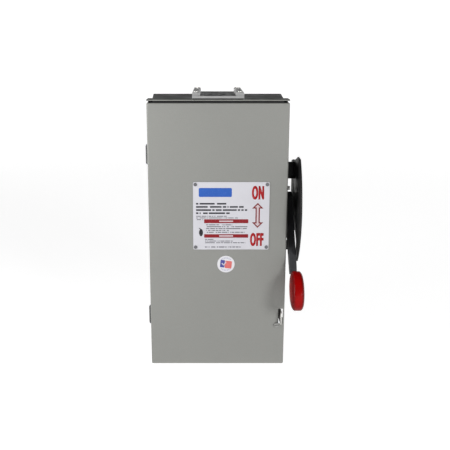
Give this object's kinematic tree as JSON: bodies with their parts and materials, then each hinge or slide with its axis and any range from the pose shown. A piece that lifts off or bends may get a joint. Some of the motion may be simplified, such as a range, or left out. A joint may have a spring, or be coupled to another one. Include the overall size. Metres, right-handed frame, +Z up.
{
  "type": "disconnect switch",
  "caption": "Grey rainproof wall-mounted safety switch box with a hinged door, a side-mounted red-gripped lever and a fusible blade switch inside.",
  "frame": {"origin": "on the wall face, midway between the wall bolts and level with the middle of the door", "axes": "+X towards the handle side (right, seen from the front), -Y towards the door, +Z up"},
  "size_m": [0.233, 0.2011, 0.4175],
  "materials": {
    "grey_enamel": "satin polyester powder coat",
    "grey_enamel_roof": "satin polyester powder coat",
    "galvanised": "spangled zinc",
    "zinc_plate": "bright zinc plate",
    "black_enamel": "semi-gloss black enamel",
    "lever_steel": "glossy dark grey",
    "red_grip": "gloss",
    "gasket_rubber": "matt",
    "gasket_cork": "matt",
    "label_plate": "printed, satin",
    "label_film": "printed film",
    "label_paper": "matt",
    "moulded_black": "matt phenolic",
    "arc_fibre": "vulcanised fibre",
    "copper": "bare copper",
    "tinned": "tin plate",
    "clear_shield": "clear polycarbonate",
    "fuse_body": "fibre tube",
    "fuse_brass": "dull",
    "spring_steel": "oiled",
    "ground_green": "dyed zinc"
  },
  "bodies": {
    "enclosure": {"enclosure_shell": "grey_enamel", "knockouts": "grey_enamel", "roof": "grey_enamel_roof", "hub_gasket": "gasket_cork", "hub_plate": "galvanised", "hub_rails": "galvanised", "hub_screws": "zinc_plate", "latch_clip": "spring_steel", "padlock_staple": "zinc_plate", "hinge_body_leaves": "black_enamel", "hinge_pins": "zinc_plate", "mounting_pan": "galvanised", "pan_screws": "zinc_plate", "line_base": "moulded_black", "line_jaws": "copper", "line_lugs": "tinned", "line_lug_screws": "zinc_plate", "arc_chutes": "arc_fibre", "arc_plates": "spring_steel", "line_shield": "clear_shield", "shield_screws": "zinc_plate", "load_base": "moulded_black", "load_jaws": "copper", "upper_fuse_clips": "copper", "lower_fuse_clips": "copper", "fuse_tubes": "fuse_body", "fuse_ferrules": "fuse_brass", "load_lugs": "tinned", "load_lug_screws": "zinc_plate", "ground_bar": "tinned", "ground_screws": "ground_green", "rotor_bearing": "moulded_black", "mechanism_frame": "galvanised", "mechanism_screws": "zinc_plate", "pivot_pins": "zinc_plate", "shaft_bush": "zinc_plate", "guard_plate": "black_enamel", "guard_brackets": "black_enamel", "guard_bolts": "zinc_plate", "guard_rivets": "zinc_plate", "interlock_defeater": "zinc_plate"},
    "door": {"door_panel": "grey_enamel", "door_gasket": "gasket_rubber", "nameplate": "label_plate", "nameplate_rivets": "spring_steel", "round_sticker": "label_film", "wiring_label": "label_paper", "hinge_door_leaves": "black_enamel", "door_catch": "galvanised"},
    "door_fastener": {"door_bolt": "zinc_plate"},
    "handle": {"drive_shaft": "zinc_plate", "drive_crank": "zinc_plate", "handle_arm": "lever_steel", "handle_grip": "red_grip"},
    "rotor": {"rotor_bar": "moulded_black", "rotor_blades": "copper", "rotor_disc": "zinc_plate"},
    "link": {"toggle_link": "zinc_plate", "toggle_spring": "spring_steel"},
    "interlock": {"interlock_lever": "zinc_plate"}
  },
  "joints": [
    {"name": "door_hinge", "type": "hinge", "parent": "enclosure", "child": "door", "pos_m": [-0.1036, -0.1026, 0], "axis": [0, 0, -1], "range_deg": [0, 120]},
    {"name": "door_bolt_turn", "type": "hinge", "parent": "door", "child": "door_fastener", "pos_m": [0.0903, -0.136, -0.136], "axis": [0, 1, 0], "range_deg": [0, 90]},
    {"name": "handle_swing", "type": "hinge", "parent": "enclosure", "child": "handle", "pos_m": [0.1092, -0.064, 0.043], "axis": [-1, 0, 0], "range_deg": [0, 90]},
    {"name": "rotor_turn", "type": "hinge", "parent": "enclosure", "child": "rotor", "pos_m": [0, -0.064, 0.043], "axis": [-1, 0, 0], "range_deg": [0, 50.5]},
    {"name": "link_swing", "type": "hinge", "parent": "enclosure", "child": "link", "pos_m": [0.07, -0.064, -0.002], "axis": [-1, 0, 0], "range_deg": [0, 23.02]},
    {"name": "interlock_swing", "type": "hinge", "parent": "enclosure", "child": "interlock", "pos_m": [0.0685, -0.09, 0.074], "axis": [-1, 0, 0], "range_deg": [0, 20.3]}
  ],
  "couplings": [
    {"joint": "rotor_turn", "follows": "handle_swing", "ratio": 0.55556},
    {"joint": "link_swing", "follows": "handle_swing", "ratio": 0.25244},
    {"joint": "interlock_swing", "follows": "handle_swing", "ratio": 0.22222}
  ]
}
